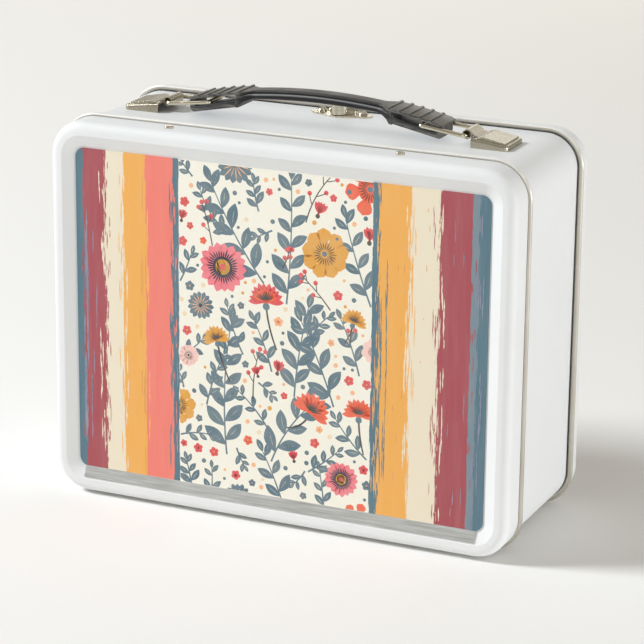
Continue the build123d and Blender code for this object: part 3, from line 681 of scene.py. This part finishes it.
def compose():
    """The printed field. The main flowers' places follow the photographed picture; the fill is random."""
    p = Print()
    # leafy sprigs: foot, heading, length, turn, pairs of leaves, leaf length
    for sprig in (
        (-6, 112, 128, 50, -14, 5, 11.5),
        (5, 104, 84, 56, 8, 6, 10.5),
        (-22, 132, 150, 24, -42, 4, 6.5),
        (45, 108, 112, 40, -8, 4, 9.0),
        (-47, 108, 62, 14, 10, 2, 6.5),
        (-2, 72, 104, 24, 14, 3, 7.5),
        (9, 62, 86, 42, -10, 5, 10.5),
        (16, 88, 70, 16, -30, 3, 6.0),
        (-16, 78, 118, 22, -16, 3, 6.5),
        (-24, 30, 96, 62, -16, 7, 11.0),
        (-34, 52, 78, 26, -14, 4, 6.5),
        (-46, 74, 30, 13, 20, 2, 6.0),
        (-2, 30, 70, 40, -30, 4, 11.0),
        (28, 60, 108, 40, 10, 4, 10.5),
        (40, 76, 104, 26, 12, 3, 7.5),
        (44, 38, 140, 22, -16, 3, 7.0),
        (24, 10, 94, 20, 6, 3, 6.0),
        (-47, 36, 20, 16, -26, 3, 5.0),
        (4, 10, 108, 26, 10, 3, 9.0),
        (-32, 8, 82, 14, 12, 2, 6.0),
        (-3, 44, 122, 22, 20, 3, 6.0),
        (16, 28, 34, 18, 10, 3, 6.0),
    ):
        p.sprig(*sprig)
    for spray in (
        (-31, 126, 100, 20, 10),
        (14, 142, 76, 26, -30),
        (26, 104, 128, 20, 14),
        (-11, 58, 92, 24, -20),
        (3, 120, 60, 10, 20),
        (33, 90, 60, 12, 10),
    ):
        p.berries(*spray)
    # flowers
    p.shaggy_daisy(-20, 164, 9.0)
    p.shaggy_daisy(-37, 98, 6.6)
    p.shaggy_daisy(-18, 10, 7.0)
    p.fan_flower(-5, 104, 8.6, 96, ROSE, ORANGE, 20, 18)
    p.fan_flower(-29, 83, 6.8, 104, GOLD, None, 18, 12)
    p.fan_flower(17, 56, 9.2, 62, ORANGE, None, 13, -60)
    p.fan_flower(40, 58, 7.8, 92, ORANGE, None, 16, 14)
    p.fan_flower(37, 100, 6.2, 74, GOLD, None, 8, 20)
    p.open_flower(23, 129, 11.4)
    p.open_flower(-48, 50, 9.0, GOLD, 8)
    p.open_flower(44, 160, 12.0, ORANGE, 6)
    p.open_flower(40, 10, 7.5, ORANGE, 6)
    p.open_flower(-43, 74, 5.2, BLUSH, 11, NAVY)
    p.open_flower(47, 88, 6.2, BLUSH, 8, NAVY)
    p.ringed_daisy(-26, 117, 11.6)
    p.ringed_daisy(32, 27, 8.2)
    for bud in (
        (20, 147, 74, 5.4),
        (44, 138, 86, 5.6),
        (1, 73, 80, 5.0),
        (-9, 70, 110, 3.8),
        (-46, 137, 80, 4.2),
        (9, 33, 100, 4.0),
    ):
        p.bud(*bud)
    # small twigs, blossoms and dots go where there is room
    room = Room(p)
    dry_brush(p)
    for _ in range(LARGE_TRIES):
        x, z = room.anywhere()
        if room.free(x, z, LARGE_REACH):
            heading = p.draw.uniform(50, 130)
            c, s = math.cos(math.radians(heading)), math.sin(math.radians(heading))
            p.sprig(x - 7 * c, z - 7 * s, heading, 13.0, p.draw.uniform(-24, 24), 3, 6.2)
            for step in (-6, -2, 2, 6):
                room.take(x + step * c, z + step * s, 4.4)
    for _ in range(SMALL_TRIES):
        x, z = room.anywhere()
        if room.free(x, z, SMALL_REACH):
            heading = p.draw.uniform(0, 360)
            c, s = math.cos(math.radians(heading)), math.sin(math.radians(heading))
            p.sprig(x - 4.6 * c, z - 4.6 * s, heading, 8.5, p.draw.uniform(-20, 20), 2, 5.0)
            room.take(x, z, 5.2)
    for radius, gap, most in FILL_SIZES:
        for _ in range(FILL_TRIES):
            x, z = room.anywhere()
            if most == 0 or not room.free(x, z, radius + gap):
                continue
            most -= 1
            if radius > BLOSSOM_LEAST:
                p.blossom(x, z, radius, *p.draw.choice(SMALL_INKS))
            else:
                p.dot(x, z, radius, p.draw.choice((SLATE, SLATE, PEACH, CREAM_DOT, GOLD)), 10)
            room.take(x, z, radius + gap)
    return p.shapes


def ink_material(name):
    """Flat lithographic ink with the faint tooth of the print."""
    s = Shader("ink_" + name)
    tooth = s.noise(2600.0, 2.0)
    wash = s.noise(120.0, 3.0)
    deep = scaled(INKS[name], 0.86)
    base = s.mix(s.ramp(tooth, [(0.36, 0.35), (0.6, 0.0)]), INKS[name], deep)
    base = s.mix(s.span(wash, 0.35, 0.7, 0.0, 0.10), base, PAPER)
    s.set(Base_Color=base, Roughness=s.span(wash, 0.3, 0.7, 0.38, 0.48))
    s.set(Normal=s.bump(tooth, 0.04, 0.00002))
    s.set(Specular_IOR_Level=0.35)
    return s.material


def build_print():
    """Each printed shape is a closed film of ink; later ones stand a hair further out."""
    mesh = bpy.data.meshes.new("flower_print")
    names = list(INKS)
    bm = bmesh.new()
    for index, (ink, points) in enumerate(compose()):
        front_y = PLATE_FACE - INK_FILM - index * INK_STEP
        back_y = PLATE_FACE + INK_FILM
        front = [bm.verts.new((x * mm, front_y, z * mm)) for x, z in points]
        back = [bm.verts.new((x * mm, back_y, z * mm)) for x, z in points]
        faces = [bm.faces.new(front), bm.faces.new(back[::-1])]
        for i in range(len(points)):
            j = (i + 1) % len(points)
            faces.append(bm.faces.new((front[j], front[i], back[i], back[j])))
        for face in faces:
            face.material_index = names.index(ink)
    bmesh.ops.recalc_face_normals(bm, faces=bm.faces)
    bm.to_mesh(mesh)
    bm.free()
    for name in names:
        mesh.materials.append(ink_material(name))
    piece = bpy.data.objects.new("flower_print", mesh)
    scene.collection.objects.link(piece)
    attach(piece, "box")


build_print()


# ---------------------------------------------------------------- which CAD node gets which finish
FINISHES = {
    enamel: ["front_cover", "body_band", "rear_lid"],
    tin: ["front_bead", "lid_bead"],
    nickel_plate: [
        "cover_studs",
        "latch_plate",
        "latch_rivets",
        "hasp_arm",
        "hasp_leaf",
        "hasp_pin",
        "hasp_rivets",
        "hinge_body_leaf_left",
        "hinge_body_leaf_right",
        "hinge_lid_leaf_left",
        "hinge_lid_leaf_right",
        "hinge_pin_left",
        "hinge_pin_right",
        "hinge_body_rivets",
        "hinge_lid_rivets",
    ],
    nickel_cap: ["bracket_left", "bracket_right"],
    nickel_wire: ["wire_loop_left", "wire_loop_right"],
    plastic: ["handle_grip"],
    printed_aluminium(): ["picture_panel"],
}
for material, names in FINISHES.items():
    for name in names:
        slots = nodes[name].data.materials
        slots.clear()
        slots.append(material)

# ---------------------------------------------------------------- moulded grip
# the grip's side view in mm: x out from the middle, z above the band's top surface
GRIP_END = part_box("handle_grip")[1][0] / mm
END_HALF = 8.2
WAIST_HALF = 5.7
WAIST_X = 30.0
FLARE_X = 36.0
BLOCK_X = 37.6
BLOCK_LAP = 0.8  # the end plates and tongues reach this far into the bridge
PLATE_DEPTH = 1.15
UNDER_CROWN = 11.2
UNDER_X = 27.0
UNDER_DROP = 0.9
HEEL = (36.4, 6.0)
TOE = (59.6, 1.35)
TONGUE_HALF = 6.0
TONGUE_TOP = (40.0, 8.4)
TONGUE_SLOPE = 0.245
TONGUE_END = 58.9
RIB_COUNT = 5
RIB_START = 36.3
RIB_PITCH = 4.9
# off the rib's middle, rise above the plate, and how far the ends draw in
RIB_PROFILE = ((-0.78, 0.1, 0.1), (-0.5, 0.5, 0.02), (0.0, 0.62, 0.0), (0.5, 0.5, 0.02), (0.78, 0.1, 0.1))
# the web's underside; it starts clear of the wire at full lift
WEB_UNDERSIDE = ((58.75, 1.7), (59.4, 1.4), (60.3, 1.75), (60.95, 2.5), (61.2, 3.6))
END_STEPS = 14
BRIDGE_STEPS = 64
EDGE_ANGLE = 32  # degrees; the moulding's sharper edges stay crisp


def arc_height(x):
    """The grip's upper arc."""
    return GRIP_CROWN - (GRIP_ARC - math.sqrt(GRIP_ARC**2 - x**2))


def smooth(t):
    """Ease from 0 to 1."""
    t = min(1.0, max(0.0, t))
    return t * t * (3 - 2 * t)


def under_height(x):
    """The bridge's underside, sweeping down to the heel of the end block."""
    x = abs(x)
    middle = UNDER_CROWN - UNDER_DROP * (x / UNDER_X) ** 2
    if x <= UNDER_X:
        return middle
    if x >= HEEL[0]:
        return HEEL[1] + (TOE[1] - HEEL[1]) * (x - HEEL[0]) / (TOE[0] - HEEL[0])
    start = UNDER_CROWN - UNDER_DROP
    t = (x - UNDER_X) / (HEEL[0] - UNDER_X)
    return start + (HEEL[1] - start) * (1 - math.sqrt(max(0.0, 1 - t**1.7)))


def bridge_section(x):
    """Half outline at x, from the top's middle to the underside's middle: (y, z) in mm.

    The top face, a groove and a lower moulding run lengthwise; they fade out at the end blocks.
    """
    top = arc_height(x)
    low = under_height(x)
    flare = smooth((abs(x) - WAIST_X) / (FLARE_X - WAIST_X))
    half = WAIST_HALF + (END_HALF - WAIST_HALF) * flare
    inset = 1.5 * (1 - flare)
    groove = 0.75 * (1 - flare)
    return [
        (0.0, top),
        (half * 0.45, top - 0.03),
        (half - inset - 0.75, top - 0.12),
        (half - inset - 0.3, top - 0.26),
        (half - inset - 0.08, top - 0.5),
        (half - inset, top - 0.8),
        (half - inset - 0.05 * groove, top - 1.05),
        (half - inset - groove, top - 1.25),
        (half - inset - groove, top - 1.55),
        (half - 0.55 - groove * 0.4, top - 1.7),
        (half - 0.2, top - 1.85),
        (half, top - 2.15),
        (half, top - 2.6),
        (half, low + 0.9),
        (half - 0.15, low + 0.5),
        (half - 0.5, low + 0.15),
        (half - 1.0, low),
        (half * 0.45, low),
        (0.0, low),
    ]


def lofted(bm, sections):
    """A closed skin through half outlines given as (x, [(y, z), ...]), mirrored in y."""
    rings = []
    for x, half in sections:
        loop = half + [(-y, z) for y, z in half[-2:0:-1]]
        rings.append([bm.verts.new((x * mm, y * mm, BAND_TOP + z * mm)) for y, z in loop])
    for ring, following in zip(rings, rings[1:]):
        for i in range(len(ring)):
            j = (i + 1) % len(ring)
            bm.faces.new((ring[i], following[i], following[j], ring[j]))
    bm.faces.new(rings[0])
    bm.faces.new(rings[-1][::-1])


def rounded_half(half, low, high, radius):
    """Half outline of a bar with rounded long edges."""
    corner = [(radius * math.sin(a), radius * math.cos(a)) for a in (0, 0.52, 1.05, 1.57)]
    upper = [(half - radius + dy, high - radius + dz) for dy, dz in corner]
    lower = [(half - radius + dy, low + radius - dz) for dy, dz in corner[::-1]]
    return [(0.0, high)] + upper + lower + [(0.0, low)]


def grip_end(bm, side):
    """Ribbed plate, ribs, tongue and web of one end."""
    plate = []
    for i in range(END_STEPS + 1):
        x = BLOCK_X - BLOCK_LAP + (GRIP_END - BLOCK_X + BLOCK_LAP) * i / END_STEPS
        tuck = 0.35 if i == END_STEPS else 0.0
        top = arc_height(x)
        outline = rounded_half(END_HALF - tuck, top - PLATE_DEPTH + tuck / 2, top - tuck, 0.34)
        plate.append((side * x, outline))
    lofted(bm, plate)
    for i in range(RIB_COUNT):
        middle = RIB_START + i * RIB_PITCH
        rib = []
        for off, rise, pull in RIB_PROFILE:
            top = arc_height(middle + off) + rise
            low = arc_height(middle + off) - PLATE_DEPTH * 0.8
            rib.append((side * (middle + off), rounded_half(END_HALF + 0.22 - pull, low, top, 0.3)))
        lofted(bm, rib)
    tongue = []
    for i in range(END_STEPS + 1):
        x = BLOCK_X - BLOCK_LAP + (TONGUE_END - BLOCK_X + BLOCK_LAP) * i / END_STEPS
        top = TONGUE_TOP[1] - TONGUE_SLOPE * (x - TONGUE_TOP[0])
        low = under_height(x)
        tongue.append((side * x, rounded_half(TONGUE_HALF, low, top, 0.4)))
    lofted(bm, tongue)
    web = []
    for x, low in WEB_UNDERSIDE:
        web.append((side * x, rounded_half(TONGUE_HALF, low, arc_height(x) - PLATE_DEPTH * 0.6, 0.4)))
    lofted(bm, web)


def build_grip():
    """One closed skin for each of the bridge, plates, ribs, tongues and webs, in one mesh."""
    bm = bmesh.new()
    bridge = []
    for i in range(BRIDGE_STEPS + 1):
        x = -BLOCK_X + 2 * BLOCK_X * i / BRIDGE_STEPS
        bridge.append((x, bridge_section(x)))
    lofted(bm, bridge)
    for side in (-1, 1):
        grip_end(bm, side)
    bmesh.ops.recalc_face_normals(bm, faces=bm.faces)
    mesh = bpy.data.meshes.new("grip_moulding")
    bm.to_mesh(mesh)
    bm.free()
    mesh.materials.append(plastic)
    piece = bpy.data.objects.new("grip_moulding", mesh)
    scene.collection.objects.link(piece)
    shade(piece, EDGE_ANGLE)
    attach(piece, "grip")
    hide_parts("handle_grip")


def shade(piece, angle):
    """Smooth shading that keeps edges sharper than the angle, in degrees."""
    limit = math.radians(angle)
    bm = bmesh.new()
    bm.from_mesh(piece.data)
    for face in bm.faces:
        face.smooth = True
    for edge in bm.edges:
        if len(edge.link_faces) == 2:
            edge.smooth = edge.calc_face_angle(0.0) < limit
    bm.to_mesh(piece.data)
    bm.free()


build_grip()

# ---------------------------------------------------------------- studio
FLOOR_HALF = 6.0
WORLD_COLOUR = (1.0, 0.95, 0.85, 1.0)
WORLD_STRENGTH = 0.32
KEY_BLOCKERS = [
    "front_cover",
    "front_bead",
    "body_band",
    "lid_bead",
    "rear_lid",
    "picture_panel",
    "bracket_left",
    "bracket_right",
]
FLOOR_DROP = -0.05 * mm  # just clear of the feet, so that the two faces never share a plane


def paper_floor():
    """Matt studio paper, painted from near white in front to a darker warm beige behind and to the right:
    painted shade where the light falls off.
    """
    s = Shader("studio_paper")
    x, y, _ = s.split()
    # painted shade: the paper is painted darker towards the back and the right
    across = s.span(x, -0.4, 0.9, 0.0, 1.0)
    away = s.span(y, -0.25, 1.6, 0.0, 1.0)
    near = s.mix(across, srgb(250, 249, 248), srgb(243, 241, 238))
    far = s.mix(across, srgb(241, 238, 231), srgb(233, 228, 216))
    fibre = s.noise(600.0, 3.0)
    base = s.mix(away, near, far)
    base = s.mix(s.span(fibre, 0.4, 0.7, 0.0, 0.04), base, srgb(205, 202, 196))
    s.set(Base_Color=base, Roughness=0.85)
    s.set(Specular_IOR_Level=0.2)
    s.set(Normal=s.bump(fibre, 0.05, 0.0001))
    return s.material


def build_floor():
    mesh = bpy.data.meshes.new("floor")
    bm = bmesh.new()
    corners = [(-1, -1), (1, -1), (1, 1), (-1, 1)]
    bm.faces.new([bm.verts.new((x * FLOOR_HALF, y * FLOOR_HALF, FLOOR_DROP)) for x, y in corners])
    bm.to_mesh(mesh)
    bm.free()
    floor = bpy.data.objects.new("floor", mesh)
    floor.data.materials.append(paper_floor())
    scene.collection.objects.link(floor)


def area_light(name, place, aim, size, power, colour, shadows=True):
    """A rectangular lamp at a place, turned to its aim; metres and watts."""
    data = bpy.data.lights.new(name, "AREA")
    data.shape = "RECTANGLE"
    data.size, data.size_y = size
    data.energy = power
    data.color = colour
    data.use_shadow = shadows
    light = bpy.data.objects.new(name, data)
    direction = Vector(aim) - Vector(place)
    light.rotation_euler = direction.to_track_quat("-Z", "Y").to_euler()
    light.location = place
    scene.collection.objects.link(light)
    return light


def build_world():
    world = bpy.data.worlds.new("studio")
    world.use_nodes = True
    background = world.node_tree.nodes["Background"]
    background.inputs["Color"].default_value = WORLD_COLOUR
    background.inputs["Strength"].default_value = WORLD_STRENGTH
    scene.world = world


def key_blockers():
    """The tin and brackets alone block the key light; the grip, wires and latch throw no shadow of it."""
    blockers = bpy.data.collections.new("key_blockers")
    for name in KEY_BLOCKERS:
        blockers.objects.link(nodes[name])
    return blockers


build_floor()
build_world()
key = area_light("key", (-2.48, -1.04, 2.10), (0, 0, 0.0), (0.85, 0.85), 104.0, (0.915, 0.958, 1.0))
area_light("front", (0.7, -2.2, 0.5), (0.02, 0, 0.08), (1.6, 0.8), 8.8, (0.97, 0.985, 1.0))
area_light("side", (2.2, 0.0, 0.13), (0, 0, 0.1), (1.4, 0.24), 24.5, (0.95, 0.98, 1.0))
area_light("back", (-0.4, 1.9, 0.7), (-0.4, 1.2, 0.0), (1.8, 0.6), 5.0, (1.0, 0.985, 0.95))
# the overhead lamp only lifts the box's top, so it throws no shadows
area_light("overhead", (0.0, 0.02, 0.43), (0, 0.02, 0), (0.50, 0.16), 0.10, (0.97, 0.985, 1.0), shadows=False)
key.light_linking.blocker_collection = key_blockers()
scene.view_settings.view_transform = "Standard"
scene.view_settings.look = "None"
